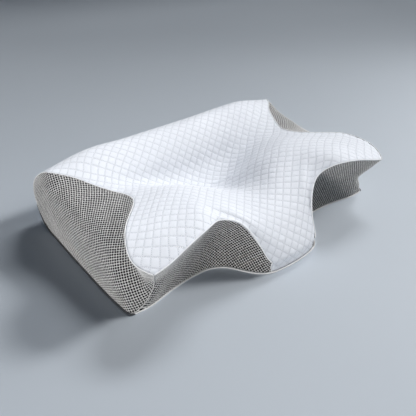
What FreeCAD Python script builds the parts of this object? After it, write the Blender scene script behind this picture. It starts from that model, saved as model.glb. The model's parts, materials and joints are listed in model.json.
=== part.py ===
import math
import os

import FreeCAD
import Part

# Contour neck pillow with a removable cover.  Millimetres.
# X runs across the pillow, +Y towards the high back roll, +Z up; the flat base is on z = 0.

Vec = FreeCAD.Vector

# Layers, as depths below the outside of the cover
QUILT_DEPTH = (0.0, 1.6)
WADDING_DEPTH = (1.8, 4.2)
MESH_DEPTH = (0.0, 3.3)
BASE_DEPTH = (0.0, 2.4)
LINER_DEPTH = (4.8, 5.4)
FOAM_DEPTH = 6.0

# Gap left beside a seam, as a share of the length and of the height of a sheet
EDGE_GAP = 0.0004
WALL_GAP = 0.002

# Poles across, front to back and top to bottom of the six sheets that wrap the pillow
ACROSS = 45
ALONG = 33
DOWN = 9
MITRE_LIMIT = 1.7

# Band at the back of the cover that the zip closes: (y, z) of its two edges
BAND_TOP = (212.5, 46.0)
BAND_BOTTOM = (206.5, 33.0)
BAND_HALF = 291.0

# Zip, in band coordinates: x across, w up from the middle of the band, depth into the pillow
TAPE_HALF = 287.5
TAPE_INNER = 0.8
TAPE_OUTER = 6.2
TAPE_DEPTH = (2.05, 2.6)
CHAIN_HALF = 230.0
COIL_INNER = 0.7
COIL_OUTER = 2.9
COIL_DEPTH = (0.2, 2.0)
STOP_GAP = 0.6
STOP_LENGTH = 3.0
SLIDER_HOME = 221.0
SLIDER_LENGTH = 9.0
SLIDER_WIDTH = 10.0
SLIDER_TOP_DEPTH = (-1.6, -0.3)
SLIDER_SOLE_DEPTH = (3.1, 4.1)
POST_HALF = 0.45
LIP_WIDTH = 1.3
LIP_DEPTH = 1.6
BRIDGE_HALF = 3.2
BRIDGE_WIDTH = 2.0
BRIDGE_TOP = -4.6
PIVOT_DEPTH = -2.6
TAB_THICKNESS = 1.2
TAB_LENGTH = 24.0
TAB_WIDTH = 7.0
TAB_EYE = 3.2

# Cord sewn round the base
PIPING_RADIUS = 1.3
PIPING_OUT = 2.9
PIPING_LIFT = 0.1

# Care label
LABEL_WIDTH = 30.0
LABEL_LENGTH = 21.0
LABEL_THICKNESS = 0.5
LABEL_ROLL = 0.4
LABEL_X = 243.0
LABEL_ANGLE = 15.0
LABEL_HINGE = (207.4, 32.6)

# Point of the first row below where the seam meets the base at the neck lobe
LOBE_CORNER = 2

# Top panel, right half: rows from the centre line out to the side seam, front row first.
# The front row is the seam over the arm recess, then down the neck lobe to the base.
TOP_ROWS = [
    [(0, -222, 22), (34, -220, 22), (58, -216, 23), (66, -197, 50), (77, -181, 79), (91, -169, 99),
     (105, -162, 108), (119, -158, 112), (131, -159, 117), (141, -164, 122), (152, -171, 127),
     (168, -179, 130), (190, -184, 128), (222, -189, 121), (255, -193, 111), (281, -190, 103)],
    [(0, -206, 47), (45, -198, 57), (80, -160, 99), (120, -143, 115), (155, -158, 138),
     (222, -172, 128), (270, -176, 114), (296, -166, 111)],
    [(0, -170, 76), (35, -166, 81), (60, -154, 93), (85, -138, 108), (125, -122, 125), (160, -128, 138),
     (222, -140, 135), (268, -146, 126), (291, -136, 122)],
    [(0, -124, 88), (30, -120, 92), (60, -112, 102), (100, -104, 115), (140, -98, 130), (190, -98, 136),
     (268, -98, 132)],
    [(0, -76, 84), (35, -70, 91), (65, -62, 105), (100, -52, 119), (150, -44, 130), (213, -37, 128)],
    [(0, -32, 68), (50, -28, 88), (80, -22, 100), (115, -14, 110), (150, -8, 117), (207, 0, 121)],
    [(0, 12, 58), (45, 16, 65), (100, 24, 85), (150, 28, 102), (214, 29, 116)],
    [(0, 54, 70), (60, 56, 76), (130, 60, 94), (190, 64, 110), (232, 67, 119)],
    [(0, 86, 108), (80, 87, 112), (160, 90, 120), (215, 97, 125), (252, 104, 126)],
    [(0, 118, 138), (100, 119, 139), (200, 122, 140), (283, 138, 133)],
    [(0, 150, 143), (100, 150, 144), (200, 151, 145), (287, 164, 122)],
    [(0, 188, 122), (100, 188, 122), (200, 188, 122), (290, 193, 100)],
    [(0, 212, 86), (100, 212, 86), (200, 212, 86), (291, 211, 76)],
    [(0, 212.5, 46), (100, 212.5, 46), (200, 212.5, 46), (291, 212.5, 46)],
]

# Side panel, right side: for each row above, the crease under the wing, the shoulder, the
# bulge of the wall and the base line.
SIDE_ROWS = [
    None,
    [(268, -146, 50), (284, -146, 30), (296, -142, 14), (301, -135, 0)],
    [(270, -122, 64), (290, -122, 52), (303, -120, 30), (302, -118, 0)],
    [(264, -90, 88), (290, -92, 76), (305, -92, 42), (303, -88, 0)],
    [(243, -42, 107), (289, -50, 90), (306, -52, 46), (303, -50, 0)],
    [(248, -4, 110), (291, -8, 90), (305, -10, 47), (302, -10, 0)],
    [(256, 28, 108), (291, 28, 94), (304, 26, 50), (301, 25, 0)],
    [(264, 67, 113), (291, 66, 102), (303, 62, 54), (300, 58, 0)],
    [(274, 102, 119), (292, 100, 108), (302, 94, 56), (299, 86, 0)],
    [(292, 132, 122), (297, 126, 106), (301, 118, 60), (298, 108, 0)],
    [(295, 156, 109), (298, 146, 90), (300, 136, 54), (297, 126, 0)],
    [(297, 184, 90), (299, 172, 74), (299, 158, 44), (297, 144, 0)],
    [(296, 204, 70), (298, 196, 58), (299, 186, 36), (296, 176, 10)],
    None,
]

# Corner seam from the wing tip in under the wing and out to the base; it pulls the front wall
# with it from TUCK_START outwards.
CORNER = [(281, -190, 103), (270, -171, 76), (258, -152, 48), (267, -153, 30), (284, -149, 10),
          (298, -143, 0)]
TUCK_START = 150.0
WALL_HOLLOW = 0.10

# Base line of the front, centre to corner
BASE_FRONT = [(0, -219, 0), (34, -217, 0), (58, -212, 0), (74, -200, 0), (88, -179, 0), (104, -152, 0),
              (130, -135, 0), (170, -132, 0), (220, -137, 0), (268, -146, 0), (298, -143, 0)]


def mirrored(point):
    return Vec(-point.x, point.y, point.z)


def blend(a, b, t):
    return a + (b - a) * t


class Path:
    """Smooth curve through points; knots default to the distance travelled."""

    def __init__(self, points, knots=None):
        self.points = points
        if knots is None:
            knots = [0.0]
            for here, after in zip(points, points[1:]):
                knots.append(knots[-1] + (after - here).Length)
            knots = [k / knots[-1] for k in knots]
        self.knots = knots
        last = len(points) - 1
        self.slopes = []
        for i in range(len(points)):
            lo = max(i - 1, 0)
            hi = min(i + 1, last)
            self.slopes.append((points[hi] - points[lo]) * (1.0 / (knots[hi] - knots[lo])))

    def at(self, t):
        i = 0
        while i < len(self.knots) - 2 and t > self.knots[i + 1]:
            i += 1
        span = self.knots[i + 1] - self.knots[i]
        s = (t - self.knots[i]) / span
        a = self.points[i]
        b = self.points[i + 1]
        near = a * (2 * s**3 - 3 * s**2 + 1) + self.slopes[i] * (span * (s**3 - 2 * s**2 + s))
        far = b * (3 * s**2 - 2 * s**3) + self.slopes[i + 1] * (span * (s**3 - s**2))
        return near + far

    def sampled(self, count):
        return [self.at(i / (count - 1)) for i in range(count)]


def full_row(half):
    right = [Vec(*p) for p in half]
    return [mirrored(p) for p in reversed(right[1:])] + right


def row_knots(rows):
    """Share one set of front-to-back knots between the centre line and the side seam."""
    total = [0.0]
    for here, after in zip(rows, rows[1:]):
        centre = (Vec(*after[0]) - Vec(*here[0])).Length
        edge = (Vec(*after[-1]) - Vec(*here[-1])).Length
        total.append(total[-1] + centre + edge)
    return [t / total[-1] for t in total]


def top_net():
    knots = row_knots(TOP_ROWS)
    rows = [Path(full_row(row)).sampled(ACROSS) for row in TOP_ROWS]
    columns = [Path([row[i] for row in rows], knots).sampled(ALONG) for i in range(ACROSS)]
    return columns


def front_net(top):
    base = Path(full_row(BASE_FRONT)).sampled(ACROSS)
    net = []
    for column, lower in zip(top, base):
        upper = column[0]
        hollow = WALL_HOLLOW * (upper.z - lower.z)
        line = []
        for j in range(DOWN):
            t = j / (DOWN - 1)
            line.append(blend(upper, lower, t) + Vec(0, hollow * 4 * t * (1 - t), 0))
        net.append(line)
    corner = Path([Vec(*p) for p in CORNER]).sampled(DOWN)
    tuck = [c - p for c, p in zip(corner, net[-1])]
    tip = net[-1][0].x
    for line in net:
        x = line[0].x
        share = max(0.0, (abs(x) - TUCK_START) / (tip - TUCK_START)) ** 2
        for j in range(DOWN):
            move = tuck[j] if x > 0 else mirrored(tuck[j])
            line[j] = line[j] + move * share
    return net


def side_net(top, front):
    edge = top[ACROSS - 1]
    knots = row_knots(TOP_ROWS)
    guides = []
    corner = front[ACROSS - 1]
    for step in range(4):
        first = Path(corner).at((step + 1) / 4)
        last = blend(Vec(BAND_HALF, *BAND_TOP), Vec(BAND_HALF, *BAND_BOTTOM), (step + 1) / 4)
        inner = [Vec(*row[step]) for row in SIDE_ROWS if row]
        guides.append(Path([first] + inner + [last], knots).sampled(ALONG))
    guides[3] = [Vec(p.x, p.y, max(p.z, 0.0)) for p in guides[3]]
    net = []
    for i in range(ALONG):
        section = Path([edge[i]] + [guide[i] for guide in guides])
        net.append(section.sampled(DOWN))
    net[0] = list(corner)
    net[-1] = [blend(edge[-1], guides[3][-1], j / (DOWN - 1)) for j in range(DOWN)]
    return net


def back_net(top):
    lower = [Vec(p[-1].x, *BAND_BOTTOM) for p in top]
    return [[blend(p[-1], low, j / (DOWN - 1)) for j in range(DOWN)] for p, low in zip(top, lower)]


def base_net(front, side, back):
    near = [line[-1] for line in front]
    far = [line[-1] for line in back]
    right = [line[-1] for line in side]
    left = [mirrored(p) for p in right]
    net = []
    for i in range(ACROSS):
        u = i / (ACROSS - 1)
        line = []
        for j in range(ALONG):
            v = j / (ALONG - 1)
            point = blend(near[i], far[i], v) + blend(left[j], right[j], u)
            corners = blend(blend(near[0], near[-1], u), blend(far[0], far[-1], u), v)
            line.append(point - corners)
        net.append(line)
    return net


def knot_vector(count):
    spans = count - 3
    return [i / spans for i in range(spans + 1)], [4] + [1] * (spans - 1) + [4]


def sheet_position(fraction, count):
    """Parameter on a sheet of the place a given fraction of the way through its poles."""
    return (fraction * (count - 1) - 1) / (count - 3)


def surface(net):
    u_knots, u_mults = knot_vector(len(net))
    v_knots, v_mults = knot_vector(len(net[0]))
    patch = Part.BSplineSurface()
    patch.buildFromPolesMultsKnots(net, u_mults, v_mults, u_knots, v_knots, False, False, 3, 3)
    return patch


def normals(net, sign):
    """Unit outward normal at every pole."""
    rows = len(net) - 1
    cols = len(net[0]) - 1
    result = []
    for i in range(rows + 1):
        line = []
        for j in range(cols + 1):
            du = net[min(i + 1, rows)][j] - net[max(i - 1, 0)][j]
            dv = net[i][min(j + 1, cols)] - net[i][max(j - 1, 0)]
            line.append((du.cross(dv) * sign).normalize())
        result.append(line)
    return result


def key(point):
    return (round(point.x, 3), round(point.y, 3), round(point.z, 3))


def inward_fields(nets, signs):
    """At every pole, the inward step that sinks all the sheets meeting there by 1 mm."""
    meeting = {}
    for name, net in nets.items():
        for line, normal_line in zip(net, normals(net, signs[name])):
            for point, normal in zip(line, normal_line):
                meeting.setdefault(key(point), []).append(normal)
    fields = {}
    for name, net in nets.items():
        field = []
        for line in net:
            steps = []
            for point in line:
                around = meeting[key(point)]
                total = Vec(0, 0, 0)
                for normal in around:
                    total = total + normal
                total.normalize()
                facing = min(total.dot(normal) for normal in around)
                steps.append(total * -min(MITRE_LIMIT, 1.0 / max(facing, 0.1)))
            field.append(steps)
        fields[name] = field
    return fields


def sunk(name, depth):
    sheet = zip(NETS[name], FIELDS[name])
    return [[p + step * depth for p, step in zip(line, steps)] for line, steps in sheet]


def face_of(net, span):
    patch = surface(net)
    patch.segment(*span)
    face = patch.toShape()
    levels = [pole.z for line in patch.getPoles() for pole in line]
    if max(levels) - min(levels) < 1e-6:
        return Part.Face(Part.Wire(Part.sortEdges(face.Edges)[0]))
    return face


def edge_strip(outer, inner, side, span):
    """Closing strip along one side of a sheet: 'u0', 'u1', 'v0' or 'v1'."""
    at = dict(zip(("u0", "u1", "v0", "v1"), span))[side]
    lo, hi = span[2:] if side[0] == "u" else span[:2]
    edges = []
    for net in (outer, inner):
        patch = surface(net)
        curve = patch.uIso(at) if side[0] == "u" else patch.vIso(at)
        curve.segment(lo, hi)
        edges.append(curve.toShape())
    return Part.makeRuledSurface(edges[0], edges[1])


def closed(faces):
    skin = Part.makeCompound(faces)
    skin.sewShape(0.001)
    solid = Part.makeSolid(skin.Shells[0])
    if solid.Volume < 0:
        solid.reverse()
    return solid


def panel(depths, pieces):
    """Closed solid between two depths; each piece is (sheet, span, sides left open)."""
    faces = []
    for name, span, sides in pieces:
        outer = sunk(name, depths[0])
        inner = sunk(name, depths[1])
        faces.append(face_of(outer, span))
        faces.append(face_of(inner, span))
        for side in sides:
            faces.append(edge_strip(outer, inner, side, span))
    return closed(faces)


def band_box(x_span, w_span, depth_span):
    """Box on the zip band: x across, w up the band from its middle, depth into the pillow."""
    box = Part.makeBox(x_span[1] - x_span[0], w_span[1] - w_span[0], depth_span[1] - depth_span[0])
    box.translate(Vec(x_span[0], w_span[0], depth_span[0]))
    return box


def on_band(shape):
    """Carry a shape from zip band coordinates to the pillow."""
    middle = Vec(0, (BAND_TOP[0] + BAND_BOTTOM[0]) / 2, (BAND_TOP[1] + BAND_BOTTOM[1]) / 2)
    up = Vec(0, BAND_TOP[0] - BAND_BOTTOM[0], BAND_TOP[1] - BAND_BOTTOM[1]).normalize()
    into = Vec(1, 0, 0).cross(up)
    frame = FreeCAD.Placement(middle, FreeCAD.Rotation(Vec(1, 0, 0), up, into))
    shape = shape.copy()
    shape.Placement = frame.multiply(shape.Placement)
    return shape


def piping():
    """Cord in the angle between base and walls, from one end of the zip band round to the other."""
    base = NETS["base"]
    field = normals(base, SIGNS["base"])
    ring = base[0][::-1] + [line[0] for line in base[1:-1]] + base[-1]
    downs = field[0][::-1] + [line[0] for line in field[1:-1]] + field[-1]
    halves = [[], []]
    for i in range(1, len(ring) - 1):
        up = downs[i] * -1
        outward = (ring[i + 1] - ring[i - 1]).cross(up).normalize()
        centre = ring[i] + outward * PIPING_OUT + up * (PIPING_RADIUS + PIPING_LIFT)
        for half, start in zip(halves, (0, 1)):
            angles = [math.pi * (start + step / 6) for step in range(7)]
            half.append([centre + (outward * math.cos(a) + up * math.sin(a)) * PIPING_RADIUS for a in angles])
    faces = [surface(half).toShape() for half in halves]
    for end in (0, -1):
        rims = []
        for half in halves:
            knots, mults = knot_vector(7)
            rim = Part.BSplineCurve()
            rim.buildFromPolesMultsKnots(half[end], mults, knots, False, 3)
            rims.append(rim.toShape())
        faces.append(Part.Face(Part.Wire(rims)))
    return closed(faces)


TOP = top_net()
FRONT = front_net(TOP)
RIGHT = side_net(TOP, FRONT)
LEFT = [[mirrored(p) for p in line] for line in RIGHT]
BACK = back_net(TOP)
BASE = base_net(FRONT, RIGHT, BACK)
NETS = {"top": TOP, "front": FRONT, "right": RIGHT, "left": LEFT, "back": BACK, "base": BASE}
SIGNS = {"top": 1, "front": -1, "right": -1, "left": 1, "back": 1, "base": -1}
FIELDS = inward_fields(NETS, SIGNS)

# Where the quilted panel runs down to the base at the neck lobe, and where the base stops being flat
FRONT_ROW = full_row(TOP_ROWS[0])
LOBE_RIGHT = sheet_position(Path(FRONT_ROW).knots[FRONT_ROW.index(Vec(*TOP_ROWS[0][LOBE_CORNER]))], ACROSS)
LOBE_LEFT = 1.0 - LOBE_RIGHT
FLAT_POLES = len([p for p in BASE[0] if p.z == 0.0])
FLAT_END = (FLAT_POLES - 3) / (ALONG - 3)

LOW = EDGE_GAP
HIGH = 1.0 - EDGE_GAP
WALL_LOW = WALL_GAP
WALL_HIGH = 1.0 - WALL_GAP

PARTS = {}
PARTS["foam_core"] = closed([face_of(sunk(name, FOAM_DEPTH), (0, 1, 0, 1)) for name in NETS])
PARTS["liner_top"] = panel(LINER_DEPTH, [
    ("top", (0, 1, 0, 1), ["v1"]),
    ("front", (0, 1, 0, 1), ["v1"]),
    ("right", (0, 1, 0, 1), ["u1", "v1"]),
    ("left", (0, 1, 0, 1), ["u1", "v1"]),
])
PARTS["liner_base"] = panel(LINER_DEPTH, [
    ("base", (LOW, HIGH, LOW, 1), ["u0", "u1", "v0"]),
    ("back", (LOW, HIGH, WALL_LOW, 1), ["u0", "u1", "v0"]),
])
PARTS["quilted_top_panel"] = panel(QUILT_DEPTH, [
    ("top", (0, LOBE_LEFT, 0, 1), ["u0", "v0", "v1"]),
    ("top", (LOBE_LEFT, LOBE_RIGHT, 0, 1), ["v1"]),
    ("top", (LOBE_RIGHT, 1, 0, 1), ["u1", "v0", "v1"]),
    ("front", (LOBE_LEFT, LOBE_RIGHT, 0, 1), ["u0", "u1", "v1"]),
])
PARTS["quilt_wadding"] = panel(WADDING_DEPTH, [("top", (LOW, HIGH, LOW, HIGH), ["u0", "u1", "v0", "v1"])])
MESH_SIDES = ["u0", "u1", "v0", "v1"]
for hand in ("right", "left"):
    PARTS[hand + "_side_mesh"] = panel(MESH_DEPTH, [(hand, (LOW, HIGH, WALL_LOW, WALL_HIGH), MESH_SIDES)])
PARTS["right_front_mesh"] = panel(MESH_DEPTH, [
    ("front", (LOBE_RIGHT + EDGE_GAP, HIGH, WALL_LOW, WALL_HIGH), MESH_SIDES)])
PARTS["left_front_mesh"] = panel(MESH_DEPTH, [
    ("front", (LOW, LOBE_LEFT - EDGE_GAP, WALL_LOW, WALL_HIGH), MESH_SIDES)])
PARTS["base_panel"] = panel(BASE_DEPTH, [
    ("base", (LOW, HIGH, LOW, FLAT_END), ["u0", "u1", "v0"]),
    ("base", (LOW, HIGH, FLAT_END, HIGH), ["u0", "u1", "v1"]),
])
PARTS["base_piping"] = piping()

# Zip
TAPE_X = (-TAPE_HALF, TAPE_HALF)
COIL_X = (-CHAIN_HALF, CHAIN_HALF)
PARTS["zip_upper_tape"] = on_band(band_box(TAPE_X, (TAPE_INNER, TAPE_OUTER), TAPE_DEPTH))
PARTS["zip_lower_tape"] = on_band(band_box(TAPE_X, (-TAPE_OUTER, -TAPE_INNER), TAPE_DEPTH))
PARTS["zip_upper_coil"] = on_band(band_box(COIL_X, (COIL_INNER, COIL_OUTER), COIL_DEPTH))
PARTS["zip_lower_coil"] = on_band(band_box(COIL_X, (-COIL_OUTER, -COIL_INNER), COIL_DEPTH))
for name, side in (("zip_top_stop", 1), ("zip_bottom_stop", -1)):
    near = side * (CHAIN_HALF + STOP_GAP)
    far = near + side * STOP_LENGTH
    PARTS[name] = on_band(band_box(sorted((near, far)), (-COIL_OUTER, COIL_OUTER), COIL_DEPTH))


def slider():
    half_length = SLIDER_LENGTH / 2
    half_width = SLIDER_WIDTH / 2
    plate = band_box((-half_length, half_length), (-half_width, half_width), SLIDER_TOP_DEPTH)
    plate = plate.makeFillet(1.2, [e for e in plate.Edges if abs(e.tangentAt(e.FirstParameter).z) > 0.9])
    sole = band_box((-half_length, half_length), (-half_width, half_width), SLIDER_SOLE_DEPTH)
    post = band_box((half_length - 3.5, half_length - 0.5), (-POST_HALF, POST_HALF),
                    (SLIDER_TOP_DEPTH[1] - 0.1, SLIDER_SOLE_DEPTH[0] + 0.1))
    body = plate.fuse([sole, post])
    for side in (-1, 1):
        across = sorted((side * half_width, side * (half_width - LIP_WIDTH)))
        lip = band_box((-half_length, half_length), across, (SLIDER_TOP_DEPTH[0] + 0.4, LIP_DEPTH))
        body = body.fuse(lip)
    outer = band_box((-BRIDGE_HALF, BRIDGE_HALF), (-BRIDGE_WIDTH / 2, BRIDGE_WIDTH / 2),
                     (BRIDGE_TOP, SLIDER_TOP_DEPTH[0] + 0.3))
    eye = band_box((-BRIDGE_HALF + 1.0, BRIDGE_HALF - 1.0), (-BRIDGE_WIDTH, BRIDGE_WIDTH),
                   (BRIDGE_TOP + 1.0, SLIDER_TOP_DEPTH[0]))
    return body.fuse(outer.cut(eye)).removeSplitter()


def pull_tab():
    """Flat tab with a round crossbar that turns under the slider's bridge."""
    radius = TAB_THICKNESS / 2
    low = PIVOT_DEPTH - radius
    high = PIVOT_DEPTH + radius
    blade = band_box((0, TAB_LENGTH), (-TAB_WIDTH / 2, TAB_WIDTH / 2), (low, high))
    blade = blade.makeFillet(2.0, [e for e in blade.Edges
                                   if abs(e.tangentAt(e.FirstParameter).z) > 0.9 and e.CenterOfMass.x > 1])
    window = band_box((-1, BRIDGE_HALF + 1.4), (-TAB_EYE / 2, TAB_EYE / 2), (low - 1, high + 1))
    crossbar = Part.makeCylinder(radius, TAB_WIDTH, Vec(0, -TAB_WIDTH / 2, PIVOT_DEPTH), Vec(0, 1, 0))
    return blade.cut(window).fuse(crossbar).removeSplitter()


PARTS["zip_slider"] = on_band(slider().translated(Vec(SLIDER_HOME, 0, 0)))
PARTS["zip_pull_tab"] = on_band(pull_tab().translated(Vec(SLIDER_HOME, 0, 0)))

# Care label: a folded tab that hangs clear of the cover from its rolled top edge, just below the band
label = Part.makeBox(LABEL_WIDTH, LABEL_THICKNESS, LABEL_LENGTH)
label.translate(Vec(LABEL_X, -LABEL_THICKNESS / 2, -LABEL_LENGTH))
roll = Part.makeCylinder(LABEL_ROLL, LABEL_WIDTH, Vec(LABEL_X, 0, 0), Vec(1, 0, 0))
label = label.fuse(roll).removeSplitter()
label.rotate(Vec(0, 0, 0), Vec(1, 0, 0), LABEL_ANGLE)
label.translate(Vec(0, *LABEL_HINGE))
PARTS["care_label"] = label

os.makedirs("parts", exist_ok=True)
for name, shape in PARTS.items():
    shape.exportStep("parts/" + name + ".step")
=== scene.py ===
import json
import math

import bpy
import numpy as np
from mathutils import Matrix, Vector

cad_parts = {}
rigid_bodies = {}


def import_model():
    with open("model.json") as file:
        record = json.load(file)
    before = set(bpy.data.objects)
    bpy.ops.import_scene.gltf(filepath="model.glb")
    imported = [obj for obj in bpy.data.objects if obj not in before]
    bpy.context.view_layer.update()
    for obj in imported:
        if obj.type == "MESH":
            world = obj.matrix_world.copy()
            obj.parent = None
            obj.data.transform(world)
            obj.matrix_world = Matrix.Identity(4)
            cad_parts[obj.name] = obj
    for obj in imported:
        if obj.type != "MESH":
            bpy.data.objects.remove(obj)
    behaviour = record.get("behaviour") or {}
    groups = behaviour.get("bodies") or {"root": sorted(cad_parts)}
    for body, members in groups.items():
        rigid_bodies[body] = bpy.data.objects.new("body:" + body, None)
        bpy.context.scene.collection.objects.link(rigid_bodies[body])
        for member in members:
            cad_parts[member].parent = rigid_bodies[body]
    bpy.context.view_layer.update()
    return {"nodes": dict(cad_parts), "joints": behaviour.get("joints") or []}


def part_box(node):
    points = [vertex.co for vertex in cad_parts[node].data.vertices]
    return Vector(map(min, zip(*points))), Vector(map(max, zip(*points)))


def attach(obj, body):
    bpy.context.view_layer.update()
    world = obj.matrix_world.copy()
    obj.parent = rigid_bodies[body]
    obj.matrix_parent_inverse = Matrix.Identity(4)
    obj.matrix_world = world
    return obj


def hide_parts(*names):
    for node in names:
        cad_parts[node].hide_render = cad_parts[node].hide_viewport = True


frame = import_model()
MM = 0.001

# The sheets of the cover, as in the CAD: rows run from the centre line out to the right side seam.
TOP_ROWS = [
    [(0, -222, 22), (34, -220, 22), (58, -216, 23), (66, -197, 50), (77, -181, 79), (91, -169, 99),
     (105, -162, 108), (119, -158, 112), (131, -159, 117), (141, -164, 122), (152, -171, 127),
     (168, -179, 130), (190, -184, 128), (222, -189, 121), (255, -193, 111), (281, -190, 103)],
    [(0, -206, 47), (45, -198, 57), (80, -160, 99), (120, -143, 115), (155, -158, 138),
     (222, -172, 128), (270, -176, 114), (296, -166, 111)],
    [(0, -170, 76), (35, -166, 81), (60, -154, 93), (85, -138, 108), (125, -122, 125), (160, -128, 138),
     (222, -140, 135), (268, -146, 126), (291, -136, 122)],
    [(0, -124, 88), (30, -120, 92), (60, -112, 102), (100, -104, 115), (140, -98, 130), (190, -98, 136),
     (268, -98, 132)],
    [(0, -76, 84), (35, -70, 91), (65, -62, 105), (100, -52, 119), (150, -44, 130), (213, -37, 128)],
    [(0, -32, 68), (50, -28, 88), (80, -22, 100), (115, -14, 110), (150, -8, 117), (207, 0, 121)],
    [(0, 12, 58), (45, 16, 65), (100, 24, 85), (150, 28, 102), (214, 29, 116)],
    [(0, 54, 70), (60, 56, 76), (130, 60, 94), (190, 64, 110), (232, 67, 119)],
    [(0, 86, 108), (80, 87, 112), (160, 90, 120), (215, 97, 125), (252, 104, 126)],
    [(0, 118, 138), (100, 119, 139), (200, 122, 140), (283, 138, 133)],
    [(0, 150, 143), (100, 150, 144), (200, 151, 145), (287, 164, 122)],
    [(0, 188, 122), (100, 188, 122), (200, 188, 122), (290, 193, 100)],
    [(0, 212, 86), (100, 212, 86), (200, 212, 86), (291, 211, 76)],
    [(0, 212.5, 46), (100, 212.5, 46), (200, 212.5, 46), (291, 212.5, 46)],
]
SIDE_ROWS = [
    [(268, -146, 50), (284, -146, 30), (296, -142, 14), (301, -135, 0)],
    [(270, -122, 64), (290, -122, 52), (303, -120, 30), (302, -118, 0)],
    [(264, -90, 88), (290, -92, 76), (305, -92, 42), (303, -88, 0)],
    [(243, -42, 107), (289, -50, 90), (306, -52, 46), (303, -50, 0)],
    [(248, -4, 110), (291, -8, 90), (305, -10, 47), (302, -10, 0)],
    [(256, 28, 108), (291, 28, 94), (304, 26, 50), (301, 25, 0)],
    [(264, 67, 113), (291, 66, 102), (303, 62, 54), (300, 58, 0)],
    [(274, 102, 119), (292, 100, 108), (302, 94, 56), (299, 86, 0)],
    [(292, 132, 122), (297, 126, 106), (301, 118, 60), (298, 108, 0)],
    [(295, 156, 109), (298, 146, 90), (300, 136, 54), (297, 126, 0)],
    [(297, 184, 90), (299, 172, 74), (299, 158, 44), (297, 144, 0)],
    [(296, 204, 70), (298, 196, 58), (299, 186, 36), (296, 176, 10)],
]
CORNER = [(281, -190, 103), (270, -171, 76), (258, -152, 48), (267, -153, 30), (284, -149, 10),
          (298, -143, 0)]
BASE_FRONT = [(0, -219, 0), (34, -217, 0), (58, -212, 0), (74, -200, 0), (88, -179, 0), (104, -152, 0),
              (130, -135, 0), (170, -132, 0), (220, -137, 0), (268, -146, 0), (298, -143, 0)]
BAND_TOP = np.array([291, 212.5, 46]) * MM
BAND_BOTTOM = np.array([291, 206.5, 33]) * MM
TUCK_START = 150 * MM          # the front wall starts to tuck in under the wings here
WALL_HOLLOW = 0.10
LOBE_CORNER = 2                # the front row's point where the neck lobe ends
ACROSS = 45                    # control points from left to right, front to back, and down a wall
ALONG = 33
DOWN = 9

FLIP = np.array([-1.0, 1.0, 1.0])       # mirrors a point from right to left


# ---------------------------------------------------------------- sheets

def run_along(points):
    """Distance covered from a path's start to each of its points."""
    return np.concatenate([[0.0], np.cumsum(np.linalg.norm(np.diff(points, axis=0), axis=1))])


def travelled(points):
    """The same distance, as a share of the path's length."""
    total = run_along(points)
    return total / total[-1]


def at_distances(where, run, points):
    """Points at given distances along a path, on straight lines between its own points."""
    return np.stack([np.interp(where, run, points[:, axis]) for axis in range(3)], -1)


def resampled(points, count, knots=None):
    """Smooth curve through points, at evenly spaced positions of its knots."""
    points = np.asarray(points, float)
    knots = travelled(points) if knots is None else knots
    last = len(points) - 1
    ahead = np.minimum(np.arange(last + 1) + 1, last)
    behind = np.maximum(np.arange(last + 1) - 1, 0)
    slopes = (points[ahead] - points[behind]) / (knots[ahead] - knots[behind])[:, None]
    t = np.linspace(0, 1, count)
    i = np.clip(np.searchsorted(knots, t, side="left") - 1, 0, last - 1)
    span = (knots[i + 1] - knots[i])[:, None]
    s = ((t - knots[i])[:, None]) / span
    near = points[i] * (2 * s**3 - 3 * s**2 + 1) + slopes[i] * span * (s**3 - 2 * s**2 + s)
    far = points[i + 1] * (3 * s**2 - 2 * s**3) + slopes[i + 1] * span * (s**3 - s**2)
    return near + far


def full_row(half):
    """Both halves of a symmetric row, from left to right."""
    half = np.array(half, float) * MM
    return np.concatenate([half[:0:-1] * FLIP, half])


def row_knots():
    """Place of each guide row between front and back, by the distance between rows."""
    steps = [np.linalg.norm(np.diff([row[end] for row in TOP_ROWS], axis=0), axis=1) for end in (0, -1)]
    total = np.concatenate([[0.0], np.cumsum(steps[0] + steps[1])])
    return total / total[-1]


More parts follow.
